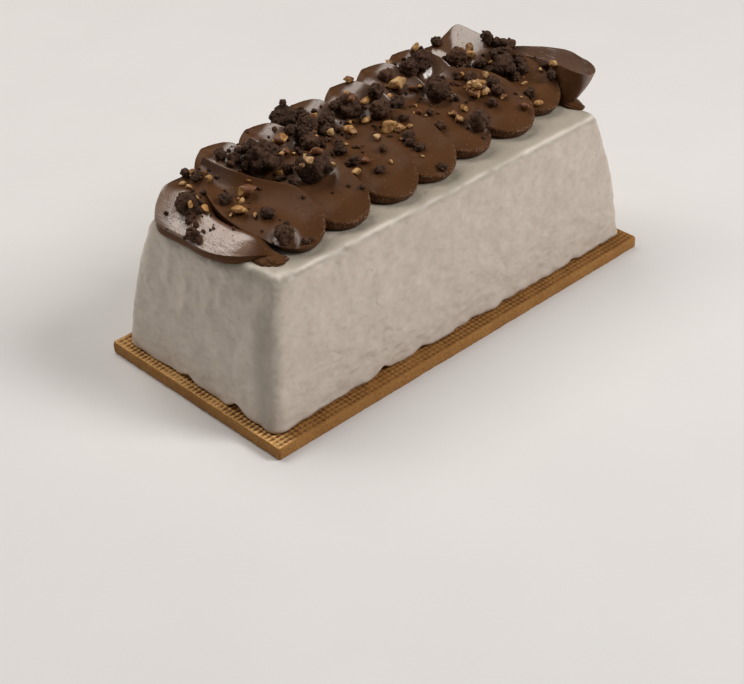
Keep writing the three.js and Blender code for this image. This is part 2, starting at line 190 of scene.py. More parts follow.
# Low dabs where the cream was broken off: place of the nose, reach, half width and height
DAB = {"side": 1, "tip": 0.5, "nose_roll": 0.6, "nose_long": 1, "nose_inset": 0, "undercut": (0, 0)}
DAB_HEIGHT = (0.9, 1, 1, 0.9, 0.6)  # at the stations, as shares
DAB_HALF = (1, 1, 1, 1, 0.6)
DABS = [
    (-79.5, -18.5, 5, 2.3, 2), (-77.5, -21, 4.5, 2, 1.8), (-76, -22.5, 3.6, 1.7, 1.5),
    (85.3, -14, 10.5, 3, 2),
]
SAG = Values(start=-77, slope=0.45, soft=2)  # the near petal hangs over the loaf's end
# How a petal is divided, and how its ends, rims and walls are rounded
HEIGHTS = ("rear", "floor", "front")
TOP_STEPS, BODY_STEPS, END_STEPS, LIP_STEPS, WALL_STEPS = 28, 34, 16, 6, 9
END_TURN = math.radians(86)
TAIL_ROLL = 0.6
NOSE_CURVE = 1.6  # how late a nose rolls down
FOOT_CURVE = 1.5  # how late a nose draws in towards its foot
DISH = (1.8, 1.8)  # how a petal rises from its middle to its rear and its front rim
LIP = 1.0  # how far the rounding of a rim reaches from its crest
LIP_MOST = Values(height=0.3, half=0.5)  # as shares of the rim's height and the half width
LIP_GAP = 1e-4
BELLY = 0.7  # how far the outer walls bulge
SHARP = math.radians(42)
# The cream's surface
RAGGED = 4  # height of its uneven lower edge
STILL = 0.8  # height below which it keeps its form
CRUMB_FOOT = 0.42  # radius of a large crumb's foot, as a share of its size
PRESS = Values(depth=0.8, reach=1.8)  # how the large crumbs press into the cream round them
WET = Values(share=0.28, gap=0.8, reach=1.5, left=10)  # rings round the large crumbs, glossier and coloured a little lighter as painted sheen
FROTH = Values(inside=0.3, reach=1.1, blend=4)  # pale froth along the rims of the noses on the right, partly painted sparkle
# Where the cream shows the marks of the spatula, is glossier and is coloured lighter as painted sheen: on
# the near petal, on the far fold and on the left
NEAR_MARKS_AND_SHEEN = Values(edge=(-77.5, 3), tail=(-19, 4), up=(0.3, 0.4))
FOLD_MARKS_AND_SHEEN = Values(share=0.9, edge=(85.5, 2), left=(14, 5))
LEFT_MARKS_AND_SHEEN = Values(edge=(12, 6), start=(-68, 4), far=(56, 4), share=0.3, more=0.3)
# The line along the left noses where those marks and the painted sheen end: a place across, and slopes
# along the loaf
NOSE_LINE = Values(across=29, blend=2, slope=(-60, 0.05), far=62, far_slope=(67, 1.1))

# The crumble. The largest cocoa crumbs have a place along and across the loaf and a longest size.
COCOA_CRUMBS = [
    (-82, 17, 9), (-70, -21, 8), (-48, 14, 14), (-39, -3, 14), (-22, 32, 12), (-26, 13, 8), (-20, 21, 9),
    (-14, 16, 8), (0, 20, 12), (38, 25, 8), (36, 7, 12), (45, 25, 12), (35, -16, 9), (61, 20, 9),
]
NUT_CLUSTER = (51, 0, 10)
# The rest has the pixel of the photograph where its middle shows, and a longest size.
NUT_BITS = [
    (192, 169, 3), (191, 175, 2.5), (182.5, 184, 3), (189, 186.5, 3.2), (197, 198, 3.6), (190, 204.6, 4),
    (204.6, 208, 4.6), (209, 178, 4), (247.3, 190.5, 8), (248.8, 180.5, 2), (240, 210, 7), (231, 215, 2.6),
    (255, 215, 3), (280, 138.5, 7), (284.5, 151, 4), (281, 172.5, 4.6), (315.6, 150.5, 6),
    (307.5, 160, 4.6), (303, 165, 3), (332.5, 164, 3), (331.5, 132, 3.4), (350, 130, 6.2),
    (349.5, 122, 3.6), (366, 120, 5.6), (365, 101, 6), (351, 98.5, 4.6), (376, 136.4, 3.2), (386, 127.5, 8),
    (399, 126.3, 5.6), (408.8, 126.2, 2.6), (401, 138.8, 3), (422, 156, 2), (356.3, 172.5, 4.4),
    (365, 160, 4), (390.6, 161.2, 2.6), (388.8, 96.3, 4), (398.7, 83, 7.6), (412.5, 87.5, 3.6),
    (420, 86.2, 3), (348, 76.3, 5.2), (390, 62.5, 4), (419.4, 112, 3.6), (415, 40.5, 5.5),
    (468.7, 46.3, 4.6), (470.6, 54.4, 5.4), (491.5, 62, 3.4), (485.6, 74.4, 4.2), (505, 57.6, 3),
    (453, 113, 4.4), (458, 118.5, 4.4), (464.5, 108.5, 4.6), (503, 96.3, 3.6), (524.4, 83, 3.4),
    (525.6, 105.6, 5.6), (537, 103, 5), (552.5, 63, 4.8), (540.6, 69.4, 2.6), (461, 75.5, 4.4),
]
SMALL_CRUMBS = [
    (185.6, 174.4, 4), (196, 176.5, 4.6), (192, 233.7, 5.6), (198.5, 240, 3), (225.6, 198.7, 5.5),
    (266.5, 213, 5.6), (258.7, 188, 1.6), (220, 153.7, 5), (232.5, 157.5, 5), (231, 163.7, 3.6),
    (238, 150, 3), (245, 148.7, 3.4), (251, 145, 4.6), (245, 166, 4.2), (293.7, 181, 5),
    (282.5, 102.5, 3.2), (302.5, 113.7, 4), (308.7, 122.5, 5.6), (290, 130, 5), (305, 131.3, 7),
    (310, 142.5, 7), (333.7, 105, 4), (340, 150, 5), (338.7, 142.5, 3.2), (355, 160, 5), (376.3, 91.3, 7),
    (380.5, 109, 9), (375, 115, 4), (397, 103, 6.5), (327, 120, 7), (410, 67, 7.5), (386, 75, 6),
    (403.7, 117.5, 4), (408.7, 136.3, 5), (410, 142.5, 4), (420, 147.5, 4), (380, 169.4, 4),
    (362.5, 186.3, 2.4), (436, 41.3, 5), (487.5, 37, 6), (496.3, 41.3, 4), (503, 43, 4.4), (510.6, 43, 4.6),
    (481.3, 62.5, 5), (493.7, 53.7, 5), (501.3, 51.3, 4), (507.5, 51.3, 4.6), (503, 65, 10.5),
    (517.5, 56.3, 3), (490, 71.3, 5), (492.5, 82.5, 6.4), (497.5, 90, 5.4), (457.5, 75, 4),
    (470, 76.3, 5.4), (492.5, 102.5, 4.6), (523, 68, 5.5), (519, 61, 4.5), (516, 76, 4.5), (287, 169, 4.5),
    (329, 168, 4), (383, 148, 3.5), (530, 93, 5), (545, 65, 3.4), (551.3, 75, 4.6), (442.5, 166.3, 4),
    (440, 125, 4.6), (430, 112, 3),
]
CRUMB_LIFT = 0.25  # of a crumb's middle above what carries it, as a share of its size
BIT_LIFT = 0.2  # the same for nuts and fine crumbs
NUT_SEEN = 0.87  # size of a nut as a share of what was read off the photograph
PIXELS_BELOW = 24  # how far below a bit its support is looked for
LEAST_FACING = 0.4  # limits the lift of a bit on a face that is seen edge on
ROUND_CRUMBS = Values(count=8, reach=(0.5, 1.2), size=(0.8, 2.8))  # fine crumbs round each large one
FINE_CRUMBS = Values(count=190, along=(-86, 88), middle=12, spread=8, size=(0.6, 1.9))
FINE_NUTS = Values(count=34, along=(-84, 86), middle=10, spread=8, size=(1.2, 2.6))
LUMP = Values(shape=(1, 0.85, 0.85), grain=0.8, tilt=0.5)
NOISE_SPAN = 50  # how far apart lumps lie in the noise
# A crumb below the plain size is one lump. A large one has a finer core and more grains.
CRUMB = Values(plain=2, plain_rough=0.5, large=6.5, core=0.92, core_rough=0.35)
GRAIN = Values(least=4, few=0.6, many=0.85, vary=(0.5, 1.0), share=0.36, most=1.7)
GRAIN_ROUGH = 0.45
GRAIN_PLACE = 0.93  # from the core's middle to its surface
NUT = Values(wide=(0.5, 0.8), high=(0.45, 0.65), rough=0.28, grain=0.75, skin=0.35)
BREAKS = Values(count=4, place=(0.25, 0.6), cut=0.92, edge=12)  # the broken faces of a nut
CLUSTER = Values(count=14, lower=8, reach=(0.34, 0.2), up=(0.14, 0.42), size=(0.32, 0.5))

# The camera stands where the photograph was taken from.
CAMERA = Values(
    azimuth=-44.16, elevation=34.73, roll=-0.82, distance=657.35, right=-5.93, up=-17.89,
)
PICTURE = (744, 684)  # pixels
FOCAL_PIXELS = 1645.3
SENSOR = 36
CLIP_START = 0.01  # metres
# Lights: direction from the loaf, distance, width and height in metres, power and colour
LIGHTS = {
    "back_softbox": ((-0.03, 0.5, 0.86), 1.3, (1.0, 0.85), 8.6, (1.0, 0.94, 0.88)),
    "left_softbox": ((-0.457, 0.585, 0.669), 1.3, (0.8, 0.6), 1.8, (0.95, 0.985, 0.96)),
    "right_softbox": ((0.43, -0.6, 0.67), 1.5, (0.45, 0.7), 13.4, (1.0, 0.985, 0.965)),
}
LIGHT_AIM = Vector((0, 0, 0.04))
SKY = Values(colour=(0.97, 0.985, 0.97), strength=0.09)
FLOOR_HALF = 3000
CLOUD = (0.3, 0.7)  # where in the noise a mottled colour has its two ends
FLAT = (1.5, 1.5, 1)  # marks in the glaze are wider than high


# Helpers for meshes

def show(thing):
    bpy.context.scene.collection.objects.link(thing)


def add_piece(name, points, faces, material):
    """A new object from points in millimetres and faces, shaded smooth."""
    mesh = bpy.data.meshes.new(name)
    mesh.from_pydata((np.asarray(points) * MM).tolist(), [], faces)
    mesh.validate()
    mesh.shade_smooth()
    piece = bpy.data.objects.new(name, mesh)
    show(piece)
    if material:
        mesh.materials.append(material)
    return piece


def set_values(piece, name, values):
    """A number at each point of a mesh, for its material."""
    layer = piece.data.attributes.new(name, "FLOAT", "POINT")
    layer.data.foreach_set("value", np.asarray(values, dtype=np.float32))


def loft_faces(rings, count):
    """Quads between rings of equal count, and a face over each end."""
    faces = [tuple(range(count))[::-1]]
    for ring in range(rings - 1):
        low, high = ring * count, (ring + 1) * count
        for i in range(count):
            j = (i + 1) % count
            faces.append((low + i, low + j, high + j, high + i))
    last = (rings - 1) * count
    faces.append(tuple(range(last, last + count)))
    return faces


def wander(points, scale, octaves, shift):
    """Smooth noise from about -1 to 1 at each point, at a scale in millimetres."""
    placed = np.asarray(points) / np.asarray(scale) + shift
    return np.array([noise.fractal(p, 1.0, 2.0, octaves) for p in placed])


def swell(points, name):
    depth, scale, octaves, shift = SWELLS[name]
    return depth * wander(points, scale, octaves, shift)


def beyond(value, edge):
    """0 up to an edge, rising to 1 after it."""
    place, blend = edge
    return np.clip((value - place) / blend, 0, 1)


def within(value, edge):
    """1 well inside an edge, falling to 0 at its place."""
    place, blend = edge
    return np.clip((place - value) / blend, 0, 1)


def ease(share):
    """A share from 0 to 1 that starts and ends gently."""
    return share**2 * (3 - 2 * share)


def bell(away, half):
    """1 in the middle, falling smoothly on both sides."""
    return np.exp(-((away / half) ** 2))


def along(values, t):
    """The value at share t of a list of evenly spaced values, on a smooth curve through them."""
    values = np.asarray(values, dtype=float)
    last = len(values) - 1
    place = np.asarray(t) * last
    low = np.clip(np.floor(place).astype(int), 0, last - 1)
    w = place - low
    before, start = values[np.maximum(low - 1, 0)], values[low]
    end, after = values[low + 1], values[np.minimum(low + 2, last)]
    rise, fall = (end - before) / 2, (after - start) / 2
    cubic = (2 * start - 2 * end + rise + fall) * w**3
    square = (-3 * start + 3 * end - 2 * rise - fall) * w**2
    return cubic + square + rise * w + start


def join_solids(pieces):
    """One closed mesh from closed pieces that overlap. The pieces are used up."""
    first = pieces[0]
    for piece in pieces[1:]:
        joint = first.modifiers.new("join", "BOOLEAN")
        joint.operation = "UNION"
        joint.solver = "MANIFOLD"
        joint.object = piece
    view = bpy.context.evaluated_depsgraph_get()
    mesh = bpy.data.meshes.new_from_object(first.evaluated_get(view))
    for piece in pieces:
        bpy.data.objects.remove(piece)
    return mesh


# Materials

class Look:
    """A material in the making. Most methods add a node and return what comes out of it."""

    def __init__(self, name, roughness, specular=0.5):
        self.material = bpy.data.materials.new(name)
        self.material.use_nodes = True
        self.tree = self.material.node_tree
        self.place = self.node("TexCoord").outputs["Object"]
        self.put("Roughness", roughness)
        self.put("Specular IOR Level", specular)

    def feed(self, socket, value):
        """Gives a socket a value, or what comes out of another node."""
        if isinstance(value, bpy.types.NodeSocket):
            self.tree.links.new(value, socket)
        else:
            socket.default_value = value

    def put(self, name, value):
        self.feed(self.tree.nodes["Principled BSDF"].inputs[name], value)

    def node(self, kind, **inputs):
        node = self.tree.nodes.new(f"ShaderNode{kind}")
        for name, value in inputs.items():
            self.feed(node.inputs[name], value)
        return node

    def soften(self, weight, radius):
        """Light that comes out again close by. The radius is in metres for red, green and blue."""
        self.put("Subsurface Weight", weight)
        self.put("Subsurface Radius", radius)
        self.put("Subsurface Scale", 1.0)

    def noise(self, size, detail, stretch=(1, 1, 1)):
        """Noise whose features measure about size millimetres, longer along an axis by its stretch."""
        scale = [1 / (size * MM * s) for s in stretch]
        place = self.node("Mapping", Vector=self.place, Scale=scale).outputs["Vector"]
        return self.node("TexNoise", Vector=place, Scale=1.0, Detail=detail).outputs["Fac"]

    def cells(self, size):
        """Distance from scattered points, whose spacing is about size millimetres."""
        return self.node("TexVoronoi", Vector=self.place, Scale=1 / (size * MM)).outputs["Distance"]

    def ramp(self, value, stops):
        """A colour for each value, from stops of (value, colour)."""
        ramp = self.node("ValToRGB", Fac=value)
        elements = ramp.color_ramp.elements
        while len(elements) < len(stops):
            elements.new(0.5)
        for element, (position, colour) in zip(elements, stops):
            element.position = position
            element.color = (*colour, 1)
        return ramp.outputs["Color"]

    def mask(self, value, *stops):
        """A share from 0 to 1 for each value, from stops of (value, share)."""
        return self.ramp(value, [(place, (share, share, share)) for place, share in stops])

    def mottle(self, value, *colours):
        """A colour between two, by a noise."""
        return self.ramp(value, list(zip(CLOUD, colours)))

    def mix(self, first, second, share):
        """The first colour where share is 0 and the second where it is 1."""
        mix = self.node("Mix")
        mix.data_type = "RGBA"
        self.feed(mix.inputs["Factor"], share)
        for name, colour in (("A", first), ("B", second)):
            self.feed(mix.inputs[name], (*colour, 1) if isinstance(colour, tuple) else colour)
        return mix.outputs["Result"]

    def bump(self, height, depth, below=None):
        """A normal from a height from 0 to 1 that stands for depth millimetres, on top of another bump."""
        bump = self.node("Bump", Strength=1.0, Distance=depth * MM, Height=height)
        if below is not None:
            self.feed(bump.inputs["Normal"], below)
        return bump.outputs["Normal"]

    def value(self, name):
        """What set_values gave the mesh under this name."""
        node = self.node("Attribute")
        node.attribute_name = name
        return node.outputs["Fac"]

    def times(self, first, second):
        node = self.node("Math")
        node.operation = "MULTIPLY"
        self.feed(node.inputs[0], first)
        self.feed(node.inputs[1], second)
        return node.outputs[0]


def glaze_material():
    look = Look("pale_glaze", 0.45)
    base = look.mottle(look.noise(8, 4), (0.60, 0.515, 0.435), (0.69, 0.60, 0.515))
    grain = look.mask(look.noise(2.4, 1, FLAT), (0.32, 0.24), (0.5, 0.0))
    mottled = look.mix(base, (0.48, 0.41, 0.345), grain)
    speck = look.mask(look.cells(3.4), (0.06, 0.6), (0.18, 0.0))
    shown = look.mask(look.noise(7, 2), (0.5, 0.0), (0.66, 1.0))
    speckled = look.mix(mottled, (0.33, 0.285, 0.235), look.times(speck, shown))
    # Painted shade: a darker band on the near end beside its right corner.
    corner_shaded = look.mix(speckled, (0.45, 0.39, 0.33), look.value("thin"))
    # Painted shade: faces that look up are coloured darker.
    top_shaded = look.mix(corner_shaded, (0.44, 0.386, 0.312), look.value("top"))
    # Painted highlight: the bead along the top edge is coloured lighter.
    bead_lit = look.mix(top_shaded, (0.78, 0.70, 0.61), look.value("bead"))
    creases = look.mask(look.noise(8, 1), (0.40, 0.0), (0.5, 1.0), (0.60, 0.0))
    cracked = look.mask(look.noise(9, 2), (0.57, 0.0), (0.66, 1.0))
    crack = look.times(creases, cracked)
    # Painted shade: the creases are coloured darker.
    crease_shade = look.mask(crack, (0.3, 0.0), (1.0, 0.12))
    look.put("Base Color", look.mix(bead_lit, (0.45, 0.38, 0.32), crease_shade))
    look.soften(0.12, (0.003, 0.002, 0.0015))
    coarse = look.bump(look.noise(3.6, 1, FLAT), 0.9)
    look.put("Normal", look.bump(crack, -0.15, coarse))
    return look.material


def cream_material():
    look = Look("chocolate_cream", 0.32, 0.06)
    base = look.mottle(look.noise(14, 4), (0.091, 0.038, 0.0157), (0.117, 0.051, 0.0215))
    marks_and_sheen = look.value("marks_and_sheen")
    marks = look.times(marks_and_sheen, marks_and_sheen)
    # Painted sheen: where the marks, the far fold and the rings round crumbs shine, the cream is coloured
    # lighter.
    smooth = look.mix(base, (0.26, 0.142, 0.088), marks)
    # Pale dots along the rims of the right noses: froth, and partly painted sparkle.
    dots = look.mask(look.cells(0.9), (0.12, 0.8), (0.4, 0.0))
    rims = look.mix(smooth, (0.33, 0.22, 0.155), look.times(dots, look.value("froth_and_sparkle")))
    # Small lighter dots over the cream: bubbles, and partly painted glints on them.
    bubble_glints = look.mask(look.cells(2.6), (0.06, 0.5), (0.11, 0.0))
    look.put("Base Color", look.mix(rims, (0.30, 0.19, 0.13), bubble_glints))
    look.put("Specular Tint", (1.0, 0.88, 0.78, 1))
    look.put("Roughness", look.mask(look.noise(5, 3), (0.3, 0.28), (0.7, 0.38)))
    look.put("Coat Weight", look.mask(marks_and_sheen, (0.0, 0.0), (0.3, 0.7), (0.6, 0.95), (1.0, 0.95)))
    look.put("Coat Roughness", 0.27)
    look.put("Coat IOR", 2.0)
    streaks = look.bump(look.times(look.noise(0.8, 2, stretch=(1, 9, 2)), marks), 0.12)
    ripple = look.bump(look.times(look.noise(0.7, 2), marks), 0.12, streaks)
    pits = look.mask(look.cells(1.9), (0.05, 0.0), (0.14, 1.0))
    pitted = look.bump(pits, 0.22, ripple)
    look.put("Normal", pitted)
    look.put("Coat Normal", pitted)
    return look.material


def biscuit_material():
    look = Look("biscuit", 0.72, 0.3)
    base = look.mottle(look.noise(12, 4), (0.345, 0.157, 0.037), (0.442, 0.215, 0.057))
    grain = look.noise(0.8, 3)
    # Painted light: the top of the near end is coloured paler.
    lit_end_colour = look.mix(base, (1.0, 0.60, 0.23), look.value("pale"))
    toasted = look.mix(lit_end_colour, (0.28, 0.115, 0.026), look.mask(grain, (0.35, 0.5), (0.6, 0.0)))
    # Painted shade in the dents of the imprint and on the side of the near end.
    look.put("Base Color", look.mix(toasted, (0.22, 0.09, 0.021), look.value("dent_and_shade")))
    sand = look.bump(look.noise(1.6, 4), 0.5)
    look.put("Normal", look.bump(grain, 0.3, sand))
    return look.material


def crumb_material():
    look = Look("cocoa_crumb", 0.85, 0.2)
    grain = look.noise(1.2, 4)
    dark = look.mottle(grain, (0.024, 0.012, 0.007), (0.100, 0.054, 0.033))
    light = look.mottle(grain, (0.050, 0.022, 0.012), (0.145, 0.070, 0.040))
    look.put("Base Color", look.mix(dark, light, look.value("tone")))
    look.put("Normal", look.bump(look.noise(0.35, 2), 0.12))
    return look.material


def nut_material():
    look = Look("chopped_nut", 0.42, 0.4)
    mottle = look.noise(1.8, 3)
    golden = look.mottle(mottle, (0.40, 0.175, 0.042), (0.64, 0.36, 0.11))
    pale = look.mottle(mottle, (0.57, 0.33, 0.13), (0.76, 0.52, 0.26))
    flesh = look.mix(golden, pale, look.value("tone"))
    spotted = look.mix(flesh, (0.27, 0.11, 0.036), look.mask(look.noise(1.4, 3), (0.40, 0.8), (0.52, 0.0)))
    look.put("Base Color", look.mix(spotted, (0.17, 0.062, 0.022), look.value("skin")))
    look.soften(0.1, (0.002, 0.001, 0.0005))
    look.put("Normal", look.bump(look.noise(0.6, 3), 0.14))
    return look.material


def floor_material():
    look = Look("floor", 0.6, 0.3)
    look.put("Base Color", look.mottle(look.noise(60, 2), (0.85, 0.83, 0.82), (0.87, 0.85, 0.84)))
    return look.material


# Biscuit

def rounded_ring(length, width, radii, count):
    """Evenly spaced points round a rectangle with round corners, anticlockwise."""
    outline = []
    for sx, sy, start, radius in zip((1, -1, -1, 1), (1, 1, -1, -1), (0, 90, 180, 270), radii):
        turn = np.radians(start + np.linspace(0, 90, 25))
        arc = np.stack([np.cos(turn), np.sin(turn)], axis=1) * radius
        outline.append(arc + (sx, sy) * (np.array([length, width]) / 2 - radius))
    outline = np.concatenate(outline)
    closed = np.vstack([outline, outline[:1]])
    walked = np.concatenate([[0], np.cumsum(np.linalg.norm(np.diff(closed, axis=0), axis=1))])
    steps = np.linspace(0, walked[-1], count, endpoint=False)
    return np.stack([np.interp(steps, walked, closed[:, axis]) for axis in (0, 1)], axis=1)


def weave_height(x, y):
    """Height from 0 to 1 of a grid of bumps, more like ribs at the biscuit's ends."""
    turns = [2 * math.pi / pitch for pitch in WEAVE.pitch]
    ribs = np.minimum(beyond(np.abs(x), RIBS.edge), RIBS.most)
    return 0.5 + 0.25 * ((1 - ribs) * np.cos(turns[0] * x) + (1 + ribs) * np.cos(turns[1] * y))


def biscuit_rings():
    """Rings of points from under the biscuit up its sides and in over its top, and each point's inset."""
    insets = np.arange(WEAVE.rim[0], WEAVE.reach[0], BISCUIT_STEP)
    profile = BISCUIT_SIDES + [(inset, BISCUIT.thick) for inset in insets]
    rings = []
    for inset, z in profile:
        radius = max(BISCUIT.corner - inset, BISCUIT.least_corner)
        length, width = BISCUIT.length - 2 * inset, BISCUIT.width - 2 * inset
        ring = rounded_ring(length, width, [radius] * 4, BISCUIT_RING)
        rings.append(np.column_stack([ring, np.full(BISCUIT_RING, float(z))]))
    return np.concatenate(rings), np.repeat([inset for inset, z in profile], BISCUIT_RING)


def make_biscuit(material):
    """A thin slab: rough sides, and the imprint of a mesh on the margin that shows round the loaf. Shade is
    painted in the dents and on the side of the near end, and light on the top of the near end.
    """
    points, inset = biscuit_rings()
    top = np.arange(len(points)) >= len(BISCUIT_SIDES) * BISCUIT_RING
    side = ~top & (points[:, 2] > ROUGH_SIDES.foot)
    fade = beyond(inset, WEAVE.rim) * within(inset, WEAVE.reach)
    worn = np.clip(WORN.mean + swell(points, "biscuit_worn"), WORN.least, 1)
    # How far each point lies in a dent of the imprint; this also sets how much shade is painted there.
    dent_and_shade = np.where(top, (1 - weave_height(points[:, 0], points[:, 1])) * fade * worn, 0)
    rough = np.abs(swell(points, "biscuit_grain") + swell(points, "biscuit_wave"))
    edge = [size / 2 - ROUGH_SIDES.margin for size in (BISCUIT.length, BISCUIT.width)]
    out = np.sign(points[:, :2]) * (np.abs(points[:, :2]) > edge)
    points[:, :2] -= out * np.where(side, rough, 0)[:, None]
    uneven = np.where(top, swell(points, "biscuit_top"), 0)
    level = points[:, 2] + uneven - WEAVE.depth * dent_and_shade
    points[:, 2] = np.clip(level, 0, BISCUIT.thick + BISCUIT.rise)
    faces = loft_faces(len(points) // BISCUIT_RING, BISCUIT_RING)
    piece = add_piece("biscuit", points, faces, material)
    # Painted shade on the side of the near end, darker towards its foot.
    dark = side & (points[:, 0] < SHADED_SIDE.edge)
    shade = np.where(dark, SHADED_SIDE.foot - SHADED_SIDE.fade * points[:, 2], 0)
    set_values(piece, "dent_and_shade", np.clip(DENT_SHADE.gain * dent_and_shade - DENT_SHADE.start + shade, 0, 1))
    # Painted light on the top of the near end.
    pale = np.minimum(within(points[:, 0], LIT_END.edge), LIT_END.most)
    set_values(piece, "pale", np.where(top, pale, 0))
    return piece


# Loaf

def loaf_ring(up, inset):
    share = up / LOAF.height
    bottom, top = LOAF.bottom, LOAF.top
    size = {key: bottom[key] + share * (top[key] - bottom[key]) for key in top}
    out = 2 * (4 * LOAF.bulge * share * (1 - share) - inset)
    radii = np.maximum(np.array(LOAF.corner) - inset, LOAF.least_corner)
    ring = rounded_ring(size["length"] + out, size["width"] + out, radii, LOAF_RING)
    bent = np.clip(1 - (ring[:, 1] + size["width"] / 2) / BOW.reach, 0, BOW.most) ** 2
    ring[:, 0] += BOW.depth * bent * np.clip(-ring[:, 0] / BOW.blend, 0, 1)
    return ring + (size["x"], size["y"])


def lower_edge(ring):
    """How far the glaze's lower edge stands above the biscuit, round the loaf."""
    placed = np.column_stack([ring, np.zeros(len(ring))])
    lift = LIFT.least + LIFT.more * np.clip(swell(placed, "lower_edge") + LIFT.bias, 0, 1)
    for x, y, width, height in GAPS:
        lift += height * bell(np.hypot(ring[:, 0] - x, ring[:, 1] - y), width / 2)
    return lift


def loaf_rings(edge, lift):
    """Rings of points from under the loaf up its walls, round its edge and in over its top."""
    height = LOAF.height
    wall_top = height - edge
    rings = []

    def add_ring(up, inset, heights):
        rings.append(np.column_stack([loaf_ring(up, inset), np.broadcast_to(heights, LOAF_RING)]))

    add_ring(0, LOAF_UNDER.inset, LOAF_UNDER.gap)
    for inset, rise in LOWER_EDGE:
        add_ring(0, inset, lift + rise)
    for share in np.arange(LOAF_STEPS.wall + 1) / LOAF_STEPS.wall:
        up = LIFT.wall + (wall_top - LIFT.wall) * share
        add_ring(up, 0, up + lift * (1 - share) ** LIFT.fade)
    for i in range(1, LOAF_STEPS.edge + 1):
        turn = math.pi / 2 * i / LOAF_STEPS.edge
        up = wall_top + edge * math.sin(turn)
        add_ring(up, edge * (1 - math.cos(turn)), up)
    middle = LOAF.top["width"] / 2 - LOAF_STEPS.middle
    for inset in np.arange(LOAF.end_edge + LOAF_STEPS.top, middle, LOAF_STEPS.top):
        add_ring(height, inset, height)
    return np.array(rings)


def make_loaf(material):
    foot = loaf_ring(0, 0)
    lift = lower_edge(foot)
    past_end = LOAF.bottom["x"] - foot[:, 0] - LOAF.bottom["length"] / 2
    softer = ease(np.clip(past_end / LOAF.end_blend + 1, 0, 1))[None, :, None]
    rings = (1 - softer) * loaf_rings(LOAF.edge, lift) + softer * loaf_rings(LOAF.end_edge, lift)
    points = np.concatenate(rings)
    faces = loft_faces(len(rings), LOAF_RING)
    piece = add_piece("glazed_loaf", points + (0, 0, LOAF_FOOT), faces, material)
    swell_loaf(piece, points)
    return piece


def glaze_runs(points, end):
    """How far the runs and the hollow under the near edge push the glaze out."""
    across, up = points[:, 1], points[:, 2]
    push = np.zeros(len(points))
    for place, tip, half, thick in RUNS:
        hang = ease(np.clip((up - tip + RUN.tip / 2) / RUN.tip, 0, 1))
        drop = hang * np.exp(-np.maximum(up - tip, 0) / RUN.fade)
        push += thick * end * drop * bell(across - place, half)
    away = np.hypot(across - HOLLOW.across, up - HOLLOW.up)
    return push - HOLLOW.depth * end * (points[:, 0] < 0) * bell(away, HOLLOW.reach)


def corner_shade_share(points, end):
    """How much painted shade darkens the near end beside its right corner."""
    share = points[:, 2] / LOAF.height
    bottom, top = (face["y"] - face["width"] / 2 for face in (LOAF.bottom, LOAF.top))
    away = points[:, 1] - bottom - share * (top - bottom) - CORNER_SHADE.inset
    return end * (points[:, 0] < 0) * bell(away, CORNER_SHADE.half)


def glaze_drips(points, normals):
    """How far the glaze spreads at its foot."""
    near = FOOT.near * np.clip(-normals[:, 1], 0, 1)
    away = np.hypot(*(points[:, :2] - CORNER_DRIP.place).T)
    corner = CORNER_DRIP.out * bell(away, CORNER_DRIP.reach)
    spread = FOOT.flare + near + swell(points, "glaze_drips") + corner
    return spread * np.exp(-points[:, 2] / FOOT.height)


def swell_loaf(piece, points):
    """Uneven glaze: broad swells, bumps, runs down the ends and a thin bead along the top edge."""
    mesh = piece.data
    normals = np.array([v.normal for v in mesh.vertices])
    below = LOAF.height - points[:, 2]
    end = np.clip(END_FACE.gain * np.abs(normals[:, 0]) - END_FACE.start, 0, 1)
    crest = bell(below - BEAD.below, BEAD.half) * (1 - end)
    bead = crest * np.clip(BEAD.mean + swell(points, "glaze_bead"), 0, BEAD.most)
    tears = bell(below - TEARS.below, TEARS.half) * (1 - end) * swell(points, "glaze_tears")
    push = swell(points, "glaze_broad") + swell(points, "glaze_bumps") + glaze_runs(points, end)
    push += BEAD.out * bead + tears + glaze_drips(points, normals)
    push[:LOAF_RING] = 0  # the lowest ring stays on the biscuit
    moved = np.array([v.co for v in mesh.vertices]) + normals * push[:, None] * MM
    moved[:, 2] = np.maximum(moved[:, 2], (LOAF_FOOT + LOAF_UNDER.gap) * MM)
    mesh.vertices.foreach_set("co", moved.ravel())
    mesh.update()
    # How much a face looks up, for the painted shade on the top.
    set_values(piece, "top", np.clip(TOP_FACE.gain * normals[:, 2] - TOP_FACE.start, 0, 1))
    # The bead's share, for its painted highlight.
    set_values(piece, "bead", np.clip(bead, 0, 1))
    # Where that band of painted shade lies.
    set_values(piece, "thin", corner_shade_share(points, end))


# Chocolate cream

def rounded_corner(start, corner, end):
    """Points on a smooth curve that cuts a corner."""
    s = np.linspace(0, 1, LIP_STEPS + 1)[:, None]
    return (1 - s) ** 2 * start + 2 * s * (1 - s) * corner + s**2 * end


def outer_wall(top, foot, side, squeeze):
    """Points from just under a rim down to the foot, bulging outwards."""
    s = np.linspace(0, 1, WALL_STEPS + 1)[:, None]
    wall = (1 - s) * top + s * foot
    wall[:, 0] += side * BELLY * squeeze * np.sin(math.pi * s[:, 0])
    return wall


def petal_side(petal, side, under, crest, top, lip, squeeze):
    """A wall and the rounding of its rim, at the rear for side 1 and at the front for side -1."""
    half = abs(crest[0])
    lean = petal.get("lean", 0) * (1 - squeeze)
    foot = np.array([side * (half - under * squeeze) + lean, 0.0])
    height = np.interp(half - lip, side * top[::-side, 0], top[::-side, 1])
    outer = crest + (foot - crest) * (lip / max(np.linalg.norm(foot - crest), TINY))
    wall = outer_wall(outer, foot, side, squeeze)
    return wall, rounded_corner(outer, crest, np.array([side * (half - lip), height]))


